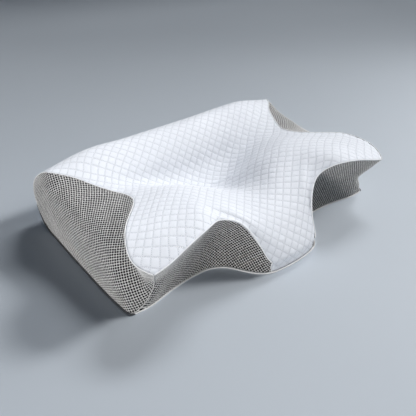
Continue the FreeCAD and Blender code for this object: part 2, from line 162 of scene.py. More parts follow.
def build_nets():
    """Control nets of the six sheets of the cover; neighbours share their edges."""
    knots = row_knots()
    rows = np.array([resampled(full_row(row), ACROSS) for row in TOP_ROWS])
    top = np.array([resampled(rows[:, i], ALONG, knots) for i in range(ACROSS)])
    base_line = resampled(full_row(BASE_FRONT), ACROSS)
    t = np.linspace(0, 1, DOWN)[None, :, None]
    front = top[:, :1] * (1 - t) + base_line[:, None] * t
    hollow = WALL_HOLLOW * (top[:, :1, 2:] - base_line[:, None, 2:])
    front[..., 1:2] += hollow * 4 * t * (1 - t)
    tuck = resampled(np.array(CORNER, float) * MM, DOWN) - front[-1]
    x = top[:, 0, 0]
    share = np.clip((abs(x) - TUCK_START) / (x[-1] - TUCK_START), 0, 1)[:, None, None] ** 2
    front += share * tuck[None] * np.where(x[:, None, None] > 0, 1.0, FLIP)
    guides = []
    corner = resampled(front[-1], 5)
    for step in range(4):
        share = (step + 1) / 4
        last = BAND_TOP * (1 - share) + BAND_BOTTOM * share
        inner = np.array([row[step] for row in SIDE_ROWS], float) * MM
        guides.append(resampled(np.concatenate([[corner[step + 1]], inner, [last]]), ALONG, knots))
    guides[3][:, 2] = np.maximum(guides[3][:, 2], 0)
    lines = np.stack([top[-1]] + guides, axis=1)
    right = np.array([resampled(line, DOWN) for line in lines])
    right[0] = front[-1]
    right[-1] = lines[-1, :1] * (1 - t[0]) + lines[-1, 4:] * t[0]
    band_low = top[:, -1].copy()
    band_low[:, 1:] = BAND_BOTTOM[1:]
    back = top[:, -1:] * (1 - t) + band_low[:, None] * t
    u = np.linspace(0, 1, ACROSS)[:, None, None]
    v = np.linspace(0, 1, ALONG)[None, :, None]
    near, far = front[:, -1][:, None], back[:, -1][:, None]
    edge_r, edge_l = right[:, -1][None], (right[:, -1] * FLIP)[None]
    corners = (near[:1] * (1 - u) + near[-1:] * u) * (1 - v) + (far[:1] * (1 - u) + far[-1:] * u) * v
    base = near * (1 - v) + far * v + edge_l * (1 - u) + edge_r * u - corners
    return {"top": top, "front": front, "right": right, "left": right * FLIP, "back": back, "base": base}


def basis(count, t):
    """Clamped uniform cubic B-spline weights."""
    knots = np.concatenate([[0.0] * 3, np.linspace(0, 1, count - 2), [1.0] * 3])
    t = np.clip(np.asarray(t, float), 0, 1 - 1e-12)
    weights = ((t[:, None] >= knots[None, :-1]) & (t[:, None] < knots[None, 1:])).astype(float)
    for degree in (1, 2, 3):
        n = weights.shape[1] - 1
        left = knots[degree:degree + n] - knots[:n]
        right = knots[degree + 1:degree + 1 + n] - knots[1:n + 1]
        a = np.divide(t[:, None] - knots[:n], left, out=np.zeros((len(t), n)), where=left > 0)
        b = np.divide(knots[degree + 1:degree + 1 + n] - t[:, None], right,
                      out=np.zeros((len(t), n)), where=right > 0)
        weights = a * weights[:, :-1] + b * weights[:, 1:]
    return weights


def evenly(count, poles):
    """Parameters that step evenly from pole to pole."""
    knots = np.concatenate([[0.0] * 3, np.linspace(0, 1, poles - 2), [1.0] * 3])
    middles = (knots[1:poles + 1] + knots[2:poles + 2] + knots[3:poles + 3]) / 3
    return np.interp(np.linspace(0, poles - 1, count), np.arange(poles), middles)


NETS = build_nets()
OUTWARD = {"top": 1, "front": -1, "right": -1, "left": 1, "back": 1, "base": -1}


def on_sheet(name, u, v):
    """Points of a sheet at every pair of the parameters u and v."""
    net = NETS[name]
    return np.einsum("ai,bj,ijk->abk", basis(net.shape[0], u), basis(net.shape[1], v), net)


def unit(vectors):
    return vectors / np.maximum(np.linalg.norm(vectors, axis=-1, keepdims=True), 1e-12)


def grid_normals(points, sign):
    return unit(np.cross(np.gradient(points, axis=0), np.gradient(points, axis=1)) * sign)


# ---------------------------------------------------------------- meshes

def quads_of(index):
    """Quads between neighbours in a grid of vertex numbers."""
    return np.stack([index[:-1, :-1], index[1:, :-1], index[1:, 1:], index[:-1, 1:]], -1).reshape(-1, 4)


def grid_faces(rows, cols, flip=False):
    quads = quads_of(np.arange(rows * cols).reshape(rows, cols))
    return quads[:, ::-1] if flip else quads


def ring_quads(index):
    """Quads between neighbouring closed rings; the last two axes are ring and vertex."""
    nxt = np.roll(index, -1, axis=-1)
    near, far = slice(None, -1), slice(1, None)
    return np.stack([index[..., near, :], nxt[..., near, :], nxt[..., far, :], index[..., far, :]],
                    -1).reshape(-1, 4)


def face_normals(points, faces):
    """Normal of each quad, as long as twice its area."""
    corners = points[faces]
    return np.cross(corners[:, 2] - corners[:, 0], corners[:, 3] - corners[:, 1])


def placed(name, data):
    """New object, linked into the scene."""
    obj = bpy.data.objects.new(name, data)
    bpy.context.scene.collection.objects.link(obj)
    return obj


class Build:
    """Gathers vertices, quads and pattern coordinates for one object."""

    def __init__(self):
        self.points, self.faces, self.uvs, self.count = [], [], [], 0

    def add(self, points, faces, uvs=None):
        points = np.asarray(points, float).reshape(-1, 3)
        uvs = np.zeros((len(points), 2)) if uvs is None else np.asarray(uvs, float).reshape(-1, 2)
        self.points.append(points)
        self.uvs.append(uvs)
        self.faces.append(np.asarray(faces, int) + self.count)
        self.count += len(points)

    def grid(self, points, flip=False, uvs=None):
        self.add(points, grid_faces(points.shape[0], points.shape[1], flip), uvs)

    def tube(self, path, radius, sides=8, up=None, ripple=None):
        """Closed cord along a path; ripple scales its radius at every vertex."""
        path = np.asarray(path, float)
        tangent = unit(np.gradient(path, axis=0))
        up = np.broadcast_to(np.array([0.0, 0.0, 1.0]) if up is None else up, path.shape)
        side = unit(np.cross(tangent, up))
        up = np.cross(side, tangent)
        angle = np.linspace(0, 2 * math.pi, sides, endpoint=False)
        r = np.broadcast_to(np.asarray(radius, float), (len(path),))[:, None, None]
        if ripple is not None:
            r = r * ripple[:, :, None]
        ring = side[:, None] * np.cos(angle)[None, :, None] + up[:, None] * np.sin(angle)[None, :, None]
        points = path[:, None] + ring * r
        index = np.arange(len(path) * sides).reshape(len(path), sides)
        caps = []
        for end, order in ((0, -1), (-1, 1)):
            loop = index[end][::order]
            for k in range(1, sides - 2, 2):
                caps.append([loop[0], loop[k], loop[k + 1], loop[min(k + 2, sides - 1)]])
        uvs = np.stack(np.broadcast_arrays(run_along(path)[:, None] / MM, angle[None]), -1)
        self.add(points, np.concatenate([ring_quads(index), caps])[:, ::-1], uvs)

    def centres(self):
        return np.concatenate(self.points)[np.concatenate(self.faces)].mean(axis=1)

    def make(self, name, materials, body, stands_for=(), smooth=True, material_of=None):
        points = np.concatenate(self.points)
        points[:, 2] = np.maximum(points[:, 2], 0.0)
        faces = np.concatenate(self.faces)
        mesh = bpy.data.meshes.new(name)
        mesh.vertices.add(len(points))
        mesh.vertices.foreach_set("co", points.astype(np.float32).ravel())
        mesh.loops.add(faces.size)
        mesh.loops.foreach_set("vertex_index", faces.astype(np.int32).ravel())
        mesh.polygons.add(len(faces))
        mesh.polygons.foreach_set("loop_start", np.arange(0, faces.size, 4, dtype=np.int32))
        mesh.update(calc_edges=True)
        layer = mesh.uv_layers.new(name="pattern")
        uvs = np.concatenate(self.uvs)[faces.ravel()]
        layer.data.foreach_set("uv", uvs.astype(np.float32).ravel())
        for material in materials:
            mesh.materials.append(material)
        if material_of is not None:
            mesh.polygons.foreach_set("material_index", material_of.astype(np.int32))
        mesh.polygons.foreach_set("use_smooth", np.full(len(faces), smooth))
        mesh.validate()
        obj = placed(name, mesh)
        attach(obj, body)
        if stands_for:
            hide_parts(*stands_for)
        return obj


# ---------------------------------------------------------------- materials

class Graph:
    """Small helper for node materials."""

    def __init__(self, name):
        self.material = bpy.data.materials.new(name)
        self.material.use_nodes = True
        self.tree = self.material.node_tree
        self.shader = self.tree.nodes["Principled BSDF"]
        self.coords = self.tree.nodes.new("ShaderNodeTexCoord")

    def feed(self, socket, value):
        """Link another node's output into a socket, or set the socket to a plain value."""
        if hasattr(value, "is_output"):
            self.tree.links.new(value, socket)
        else:
            socket.default_value = (*value, 1.0) if socket.type == "RGBA" else value

    def node(self, kind, settings=None, **inputs):
        made = self.tree.nodes.new("ShaderNode" + kind)
        for key, value in (settings or {}).items():
            setattr(made, key, value)
        for key, value in inputs.items():
            self.feed(made.inputs[int(key[1:]) if key[0] == "_" else key.replace("_", " ")], value)
        return made.outputs[0]

    def maths(self, operation, a, b=0.0, c=0.0):
        return self.node("Math", {"operation": operation}, _0=a, _1=b, _2=c)

    def noise(self, scale, detail=3.0):
        return self.node("TexNoise", Vector=self.coords.outputs["Object"], Scale=scale, Detail=detail)

    def ramp(self, value, low, high, a, b):
        """Mix from colour a at low to colour b at high."""
        factor = self.node("MapRange", Value=value, From_Min=low, From_Max=high)
        mix = self.tree.nodes.new("ShaderNodeMix")
        mix.data_type = "RGBA"
        for socket, source in ((0, factor), (6, a), (7, b)):
            self.feed(mix.inputs[socket], source)
        return mix.outputs[2]

    def bump(self, height, strength, distance, **under):
        """Bumps from a height, over another bump given as Normal."""
        return self.node("Bump", Strength=strength, Distance=distance, Height=height, **under)

    def finish(self, colour, roughness, normal=None, sheen=0.0, metallic=0.0, specular=0.3):
        values = {"Base Color": colour, "Roughness": roughness, "Sheen Weight": sheen,
                  "Sheen Roughness": 0.5, "Metallic": metallic, "Specular IOR Level": specular}
        if normal is not None:
            values["Normal"] = normal
        for key, value in values.items():
            self.feed(self.shader.inputs[key], value)
        return self.material


QUILT_LOW = (0.78, 0.81, 0.87)
QUILT_HIGH = (0.85, 0.88, 0.94)
# painted shade: the colour the knit darkens to in the sewn grooves
QUILT_GROOVE_SHADE = (0.48, 0.52, 0.60)
QUILT_THREAD = (0.92, 0.93, 0.95)
THREAD_HALF = 0.022            # in diamonds, like the UVs of the quilting
GROOVE_SHADE_HALF = 0.09
STITCHES = 5.0                 # stitches along one side of a diamond
STITCH_GAP = 0.3


def quilt_material():
    """Knit with painted shade that darkens it towards the sewn grooves, with dashes of thread along them.
    """
    g = Graph("quilted_knit")
    split = g.tree.nodes.new("ShaderNodeSeparateXYZ")
    g.feed(split.inputs[0], g.coords.outputs["UV"])
    lines = []
    for axis in (0, 1):
        phase = g.maths("FRACT", g.maths("ADD", split.outputs[axis], 0.5))
        lines.append(g.maths("ABSOLUTE", g.maths("SUBTRACT", phase, 0.5)))
    near = g.maths("MINIMUM", lines[0], lines[1])
    stitch = []
    for axis in (0, 1):
        phase = g.maths("FRACT", g.maths("MULTIPLY", split.outputs[axis], STITCHES))
        stitch.append(g.maths("GREATER_THAN", phase, STITCH_GAP))
    thread = g.maths("MAXIMUM",
                     g.maths("MULTIPLY", g.maths("LESS_THAN", lines[0], THREAD_HALF), stitch[1]),
                     g.maths("MULTIPLY", g.maths("LESS_THAN", lines[1], THREAD_HALF), stitch[0]))
    knit = g.node("TexWave", {"wave_type": "BANDS", "bands_direction": "DIAGONAL"},
                  Vector=g.coords.outputs["UV"], Scale=4.6, Distortion=1.2, Detail=2.0)
    loops = g.node("TexVoronoi", Vector=g.coords.outputs["UV"], Scale=15.0)
    tone = g.noise(9.0, 3.0)
    cloth = g.ramp(tone, 0.35, 0.7, QUILT_LOW, QUILT_HIGH)
    # painted shade: the cloth darkens towards each stitch line
    groove_shade = g.ramp(near, 0.0, GROOVE_SHADE_HALF, QUILT_GROOVE_SHADE, cloth)
    colour = g.ramp(thread, 0.0, 1.0, groove_shade, QUILT_THREAD)
    under = g.bump(loops, 0.35, 0.0004)
    fine = g.bump(knit, 0.25, 0.0003, Normal=under)
    normal = g.bump(thread, 0.8, 0.0004, Normal=fine)
    return g.finish(colour, 0.75, normal, sheen=0.25, specular=0.25)


def thread_material(name, low, high, scale=900.0, rough=0.7):
    g = Graph(name)
    colour = g.ramp(g.noise(60.0), 0.3, 0.7, low, high)
    return g.finish(colour, rough, g.bump(g.noise(scale, 2.0), 0.5, 0.0003), sheen=0.15)


def weave_material(name, low, high, pitch=0.0009):
    g = Graph(name)
    warp, weft = (g.node("TexWave", {"wave_type": "BANDS", "bands_direction": way},
                         Vector=g.coords.outputs["Object"], Scale=0.3 / pitch, Distortion=0.4)
                  for way in "XY")
    colour = g.ramp(g.noise(14.0, 4.0), 0.3, 0.75, low, high)
    threads = g.bump(g.maths("MULTIPLY", warp, weft), 0.4, 0.0004)
    return g.finish(colour, 0.85, threads, sheen=0.2, specular=0.2)


def metal_material():
    g = Graph("satin_metal")
    brushed = g.node("TexNoise", Vector=g.node("Mapping", Vector=g.coords.outputs["Object"],
                                               Scale=(200.0, 2500.0, 2500.0)), Scale=1.0, Detail=4.0)
    wear = g.noise(220.0, 3.0)
    rough = g.node("MapRange", Value=wear, To_Min=0.22, To_Max=0.42)
    return g.finish(g.ramp(wear, 0.3, 0.7, (0.55, 0.55, 0.56), (0.72, 0.72, 0.73)), rough,
                    g.bump(brushed, 0.15, 0.0001), metallic=1.0, specular=0.5)


def foam_material(name, low, high, cell):
    g = Graph(name)
    cells = g.node("TexVoronoi", Vector=g.coords.outputs["Object"], Scale=1.0 / cell)
    colour = g.ramp(g.noise(12.0, 4.0), 0.3, 0.7, low, high)
    return g.finish(colour, 0.9, g.bump(cells, 0.6, 0.0006), specular=0.1)


QUILT = quilt_material()
NET = thread_material("mesh_threads", (0.60, 0.597, 0.595), (0.74, 0.737, 0.733))
# painted shade: near-black colour of the hole walls and of the sheet under the mesh, standing for the
# shade in the holes
NET_HOLE_SHADE = foam_material("mesh_backing", (0.004, 0.004, 0.004), (0.010, 0.010, 0.011), 0.0016)
HEM = thread_material("turned_hem", (0.86, 0.87, 0.90), (0.93, 0.94, 0.96))
PIPING = thread_material("piping_cover", (0.84, 0.84, 0.85), (0.92, 0.92, 0.93))
# painted shade: a near-black copy of the white piping, for the stretches that lie in shade
PIPING_SHADE = thread_material("piping_painted_shade", (0.035, 0.037, 0.042), (0.06, 0.063, 0.07))
BASE_CLOTH = weave_material("base_knit", (0.66, 0.66, 0.68), (0.76, 0.76, 0.78))
TAPE = weave_material("zip_tape_weave", (0.74, 0.74, 0.75), (0.82, 0.82, 0.83), 0.0006)
COIL = thread_material("zip_nylon", (0.80, 0.80, 0.80), (0.88, 0.88, 0.88), 1500.0, 0.35)
LABEL = weave_material("label_satin", (0.86, 0.86, 0.85), (0.93, 0.93, 0.92), 0.0004)
METAL = metal_material()
FOAM = foam_material("foam_cells", (0.86, 0.84, 0.74), (0.93, 0.91, 0.84), 0.0012)
LINER = weave_material("liner_knit", (0.80, 0.80, 0.79), (0.88, 0.88, 0.87))


# ---------------------------------------------------------------- quilted top

QUILT_PITCH = 14.14 * MM
RIDGE_BEHIND = 0.55            # the back roll's ridge lies in the rows past this share
PUFF = 0.95 * MM               # height of a diamond above its stitch lines
PUFF_ROUNDNESS = 0.33
PUFF_CAP = 1.6 * MM
WRINKLE_SHARE = 0.36           # how much of the height comes from the cloth simulation
SWATCH_CELLS = 16
SWATCH_STEPS = 8
SWATCH_FRAMES = 20
SWATCH_SEED = 11
SWATCH_SHAKE = 0.10 * MM       # uneven start, so that the cloth buckles
SWATCH_CLOTH = {"quality": 5, "mass": 0.1, "tension_stiffness": 12, "compression_stiffness": 12,
                "shear_stiffness": 6, "bending_stiffness": 0.05, "vertex_group_mass": "stitched",
                "use_pressure": True, "uniform_pressure_force": 4.0, "shrink_min": -0.05}
QUILT_COLS = 461
QUILT_ROWS = 371
LOBE_STEPS = 14                # grid rows down the front of the neck lobe
LOBE_ROUND = 9                 # grid rows behind its lip that are rounded with it
LOBE_ROUNDS = 14
LOBE_FADE = 12 * MM
EDGE_FULLNESS = 5              # grid rings from a seam to full puff
LUMPS = 0.5 * MM               # slow unevenness of the filling
LUMP_LENGTH = 70 * MM
EDGE_TUCK = np.array([2.3, 0.9, 0.25, 0.0]) * MM
CREASE_WIDTH = 3.2 * MM
BOWL_CREASES = [
    ([(-18, 18), (10, 5), (38, -3), (66, 4)], 1.6),
    ([(-62, -8), (-48, -26), (-28, -38)], 1.1),
    ([(30, -40), (52, -30), (78, -34)], 0.9),
]


def on_pattern(x, along):
    """Place on the quilting, in diamonds, from the distances across and along the fabric."""
    return np.stack([x + along, x - along], -1) / math.sqrt(2) / QUILT_PITCH


def pattern_coordinates(points, ridge_from):
    """Place on the quilting, and distance along the fabric from the top of the back roll."""
    steps = np.diff(points[..., 1:], axis=1)
    run = np.cumsum(np.linalg.norm(steps, axis=-1), axis=1)
    along = np.concatenate([np.zeros((len(points), 1)), run], axis=1)
    rearward = np.arange(points.shape[1]) > ridge_from * points.shape[1]
    ridge = np.argmax(np.where(rearward, points[..., 2], -1), axis=1)
    along -= along[np.arange(len(points)), ridge][:, None]
    return on_pattern(points[..., 0], along), along


def to_line(coords):
    """Distance in pattern units to the nearest stitch line, along each of the two directions."""
    return abs(coords - np.round(coords))


def puffed(coords):
    """0 on the stitch lines, 1 in the middle of a diamond."""
    away = to_line(coords)
    return np.prod(np.sin(math.pi * away) ** PUFF_ROUNDNESS, axis=-1)


def low_noise(points, scale, seed):
    """Smooth, repeatable wobble built from a few sine waves."""
    wave = np.random.default_rng(seed)
    total = np.zeros(points.shape[:-1])
    for _ in range(6):
        heading = unit(wave.normal(size=3)) / scale * wave.uniform(0.6, 1.6)
        total += np.sin(points @ heading * 2 * math.pi + wave.uniform(0, 6.28))
    return total / 3.0


def quilt_swatch():
    """Heights of a square of quilting, pinned along its stitch lines and blown up by the cloth solver."""
    count = SWATCH_CELLS * SWATCH_STEPS + 1
    line = np.arange(count) / SWATCH_STEPS
    p, q = np.meshgrid(line, line, indexing="ij")
    flat = np.stack([p * QUILT_PITCH, q * QUILT_PITCH, np.zeros_like(p)], -1)
    analytic = puffed(np.stack([p, q], -1)) * PUFF
    sheet = flat.copy()
    sheet[..., 2] = analytic * 0.4
    wobble = np.random.default_rng(SWATCH_SEED).normal(size=(count, count)) * SWATCH_SHAKE
    free = (np.minimum(to_line(p), to_line(q)) * SWATCH_STEPS) > 0.5
    sheet[..., 2] += wobble * free
    mesh = bpy.data.meshes.new("cloth")
    mesh.from_pydata(sheet.reshape(-1, 3).tolist(), [], grid_faces(count, count).tolist())
    obj = placed("cloth", mesh)
    scene = bpy.context.scene
    group = obj.vertex_groups.new(name="stitched")
    group.add(np.flatnonzero(~free.ravel()).tolist(), 1.0, "REPLACE")
    cloth = obj.modifiers.new("Cloth", "CLOTH")
    for key, value in SWATCH_CLOTH.items():
        setattr(cloth.settings, key, value)
    cloth.settings.effector_weights.gravity = 0
    cloth.collision_settings.use_collision = False
    cloth.point_cache.frame_start = 1
    cloth.point_cache.frame_end = SWATCH_FRAMES
    for step in range(1, SWATCH_FRAMES + 1):
        scene.frame_set(step)
    result = obj.evaluated_get(bpy.context.evaluated_depsgraph_get()).data
    moved = np.zeros(count * count * 3, np.float32)
    result.vertices.foreach_get("co", moved)
    bpy.data.objects.remove(obj)
    bpy.data.meshes.remove(mesh)
    scene.frame_set(1)
    height = moved.reshape(count, count, 3)[..., 2].astype(float)
    height *= PUFF / max(np.percentile(height, 90), 1e-5)
    return analytic * (1 - WRINKLE_SHARE) + np.clip(height, 0, PUFF_CAP) * WRINKLE_SHARE


def bilinear(field, spot):
    """Value of a grid field at fractional grid positions, with its change along each direction."""
    limit = np.array(field.shape[:2]) - 2
    low = np.minimum(spot.astype(int), limit)
    s, t = (spot - low)[..., :1], (spot - low)[..., 1:]
    i, k = low[..., 0], low[..., 1]
    near, far = field[i, k], field[i + 1, k]
    near_down, far_down = field[i, k + 1], field[i + 1, k + 1]
    value = (near * (1 - s) + far * s) * (1 - t) + (near_down * (1 - s) + far_down * s) * t
    return value, (far - near) * (1 - t) + (far_down - near_down) * t, \
        (near_down - near) * (1 - s) + (far_down - far) * s


def looked_up(swatch, coords):
    """Swatch height at pattern coordinates, repeating the swatch where the cover is larger."""
    return bilinear(swatch[..., None], np.mod(coords, SWATCH_CELLS) * SWATCH_STEPS)[0][..., 0]


def vertex_normals(points, faces):
    across = face_normals(points, faces)
    total = np.zeros_like(points)
    for k in range(4):
        for axis in range(3):
            total[:, axis] += np.bincount(faces[:, k], across[:, axis], len(points))
    return unit(total)


def smoothstep(low, high, value):
    t = np.clip((value - low) / (high - low), 0, 1)
    return t * t * (3 - 2 * t)


def crease(points, path, width, depth):
    """Height of a soft fold that follows a path given as (x, y)."""
    path = resampled(np.array([(x, y, 0) for x, y in path], float) * MM, 40)[:, :2]
    away = np.linalg.norm(points[:, None, :2] - path[None], axis=2).min(axis=1)
    ends = np.minimum(np.linalg.norm(points[:, :2] - path[0], axis=1),
                      np.linalg.norm(points[:, :2] - path[-1], axis=1))
    fade = smoothstep(0, 25 * MM, ends)
    valley = np.exp(-(away / width) ** 2)
    bulge = np.exp(-((away - 2.2 * width) / width) ** 2)
    return fade * depth * (0.45 * bulge - valley)


def lobe_span():
    front_row = full_row(TOP_ROWS[0])
    knot = travelled(front_row)[len(TOP_ROWS[0]) - 1 + LOBE_CORNER]
    right = (knot * (ACROSS - 1) - 1) / (ACROSS - 3)
    return 1.0 - right, right


LOBE_LEFT, LOBE_RIGHT = lobe_span()


def with_lobe_edges(u):
    """Move the two nearest grid lines onto the edges of the neck lobe."""
    u = u.copy()
    for edge in (LOBE_LEFT, LOBE_RIGHT):
        u[np.argmin(abs(u - edge))] = edge
    return u


def quilt():
    u = with_lobe_edges(evenly(QUILT_COLS, ACROSS))
    v = evenly(QUILT_ROWS, ALONG)
    top = on_sheet("top", u, v)
    first, last = (int(np.argmin(abs(u - edge))) for edge in (LOBE_LEFT, LOBE_RIGHT))
    strip = on_sheet("front", u[first:last + 1], evenly(LOBE_STEPS, DOWN))[:, ::-1]
    coords, along = pattern_coordinates(top, RIDGE_BEHIND)
    run = np.linalg.norm(np.diff(strip[..., 1:], axis=1), axis=-1)
    behind = np.cumsum(run[:, ::-1], axis=1)[:, ::-1]
    strip_along = along[first:last + 1, :1] - behind
    strip = strip[:, :-1]
    strip_coords = on_pattern(strip[..., 0], strip_along)

    index = np.arange(top[..., 0].size).reshape(top.shape[:2])
    strip_index = np.arange(strip[..., 0].size).reshape(strip.shape[:2]) + index.size
    whole = np.concatenate([strip_index, index[first:last + 1, :1]], axis=1)
    faces = np.concatenate([quads_of(index), quads_of(whole)])
    points = np.concatenate([top.reshape(-1, 3), strip.reshape(-1, 3)])
    coords = np.concatenate([coords.reshape(-1, 2), strip_coords.reshape(-1, 2)])

    # Round the lip of the neck lobe
    columns = np.concatenate([whole, index[first:last + 1, 1:LOBE_ROUND]], axis=1)
    weight = np.zeros(columns.shape)
    weight[2:-2, 2:-1] = 1.0
    weight *= smoothstep(0, LOBE_FADE, np.minimum(points[columns][..., 0] - top[first, 0, 0],
                                                top[last, 0, 0] - points[columns][..., 0]))
    for _ in range(LOBE_ROUNDS):
        lane = points[columns]
        smooth = lane.copy()
        smooth[:, 1:-1] = (lane[:, :-2] + lane[:, 2:]) / 2
        points[columns] = lane + (smooth - lane) * 0.5 * weight[..., None]

    # Distance from the sewn edges, in rings of the grid
    normals = vertex_normals(points, faces)
    cols, rows = np.arange(QUILT_COLS)[:, None], np.arange(QUILT_ROWS)[None]
    edge = np.minimum(np.minimum(cols, cols[::-1]), rows[:, ::-1])
    columns_out = np.maximum(first - cols, cols - last)
    edge = np.minimum(edge, np.where(columns_out >= 0, rows, np.hypot(rows, columns_out)))
    lane = np.minimum(np.arange(len(strip)), np.arange(len(strip))[::-1])[:, None]
    strip_edge = np.minimum(lane, np.arange(strip.shape[1])[None])
    edge = np.concatenate([edge.ravel(), strip_edge.ravel()])

    puff = looked_up(SWATCH, coords)
    lumps = low_noise(points, LUMP_LENGTH, 3) * LUMPS * smoothstep(2, 9, edge)
    height = puff * smoothstep(0, EDGE_FULLNESS, edge) + lumps
    for path, depth in BOWL_CREASES:
        height += crease(points, path, CREASE_WIDTH, depth * MM)
    height -= EDGE_TUCK[np.minimum(edge, len(EDGE_TUCK) - 1).astype(int)]
    points = points + normals * height[:, None]
    points[:, 2] = np.maximum(points[:, 2], 0.3 * MM)
    made = Build()
    made.add(points, faces, coords)
    return made.make("quilted_cover", [QUILT], "pillow", ("quilted_top_panel", "quilt_wadding"))


SWATCH = quilt_swatch()
quilt()


# ---------------------------------------------------------------- spacer mesh

HOLE_PITCH = 4.3 * MM
# the front walls get larger holes than the side walls, so more of the painted hole shade shows on them
HOLE_HALF = {"side": 1.70 * MM, "front": 1.82 * MM}
HOLE_UNEVEN = 0.06
HOLE_CORNER_CUT = 0.14
THREAD_CROWN = 0.3 * MM
HOLE_DEPTH = 0.5 * MM
# the sheet of painted hole shade lies this far under the threads
SHADE_SHEET_DEPTH = 0.6 * MM
OFF_PANEL = 0.3 * MM
PATTERN_TURN = {"side": math.radians(40), "front": math.radians(60)}
# Each ring round a hole: share of the way from the cell's edge to the hole, height, dip at the corners
NET_RINGS = [(0.0, THREAD_CROWN, 0.1 * MM), (0.6, THREAD_CROWN * 0.8, 0.0), (1.0, -0.1 * MM, 0.0),
             (1.0, -HOLE_DEPTH, 0.0)]
PANEL_ALONG = 301
PANEL_DOWN = 61
SHADE_SHEET_ALONG = 141
SHADE_SHEET_DOWN = 41
FLAT_STEP = 5
FLATTEN_ROUNDS = 3000
FLATTEN_HASTE = 1.2
LOCATE_ROUNDS = 8
EIGHT = np.array([(-1, -1), (0, -1), (1, -1), (1, 0), (1, 1), (0, 1), (-1, 1), (-1, 0)], float)


def evened(points, count):
    """Lines of points resampled to even steps of length along the second axis."""
    return np.array([at_distances(np.linspace(0, 1, count), travelled(line), line) for line in points])


def laid_flat(grid):
    """Plane coordinates for a curved panel that keep its lengths as nearly as they can."""
    middle = grid.shape[1] // 2
    run = run_along(grid[:, middle])
    steps = np.linalg.norm(np.diff(grid, axis=1), axis=2)
    down = np.concatenate([np.zeros((len(grid), 1)), np.cumsum(steps, axis=1)], axis=1)
    flat = np.stack([np.broadcast_to(run[:, None], down.shape), down - down[:, middle:middle + 1]], -1)
    here, there, every = slice(1, None), slice(None, -1), slice(None)
    links = [((here, every), (there, every)), ((every, here), (every, there)),
             ((here, here), (there, there)), ((here, there), (there, here))]
    lengths = [np.linalg.norm(grid[a] - grid[b], axis=-1) for a, b in links]
    for _ in range(FLATTEN_ROUNDS):
        move = np.zeros_like(flat)
        share = np.zeros(flat.shape[:2])
        for (a, b), length in zip(links, lengths):
            gap = flat[a] - flat[b]
            now = np.maximum(np.linalg.norm(gap, axis=-1), 1e-9)
            push = gap * ((length - now) / now / 2)[..., None]
            move[a] += push
            move[b] -= push
            share[a] += 1
            share[b] += 1
        flat = flat + move / share[..., None] * FLATTEN_HASTE
    return flat


class Panel:
    """A wall of the cover, with the flat piece of fabric it was cut from."""

    def __init__(self, points, sign):
        grid = evened(points, PANEL_DOWN)
        middle = travelled(grid[:, PANEL_DOWN // 2])
        even = np.linspace(0, 1, PANEL_ALONG)
        self.grid = np.stack([at_distances(even, middle, grid[:, k]) for k in range(PANEL_DOWN)], axis=1)
        self.normals = grid_normals(self.grid, sign)
        self.flip = sign < 0
        self.flat = laid_flat(self.grid[::FLAT_STEP, ::FLAT_STEP])

    def located(self, spots):
        """Grid position of each place on the flat fabric, and how far off the panel it lies."""
        nodes = self.flat.reshape(-1, 2)
        nearest = np.concatenate([np.argmin(((nodes[None] - part[:, None]) ** 2).sum(-1), axis=1)
                                  for part in np.array_split(spots, len(spots) // 2000 + 1)])
        spot = np.stack(np.unravel_index(nearest, self.flat.shape[:2]), -1).astype(float)
        limit = np.array(self.flat.shape[:2]) - 1.0
        for _ in range(LOCATE_ROUNDS):
            value, along, down = bilinear(self.flat, spot)
            miss = spots - value
            area = along[:, 0] * down[:, 1] - along[:, 1] * down[:, 0]
            step = np.stack([miss[:, 0] * down[:, 1] - miss[:, 1] * down[:, 0],
                             along[:, 0] * miss[:, 1] - along[:, 1] * miss[:, 0]], -1) / area[:, None]
            spot = np.clip(spot + step, 0, limit)
        return spot * FLAT_STEP, np.linalg.norm(spots - bilinear(self.flat, spot)[0], axis=1)

    def at(self, spot, lift):
        return bilinear(self.grid, spot)[0] + bilinear(self.normals, spot)[0] * np.asarray(lift)[..., None]

    def edge(self, side):
        cut = {"top": (slice(None), 0), "start": 0}[side]
        return self.grid[cut], self.normals[cut]


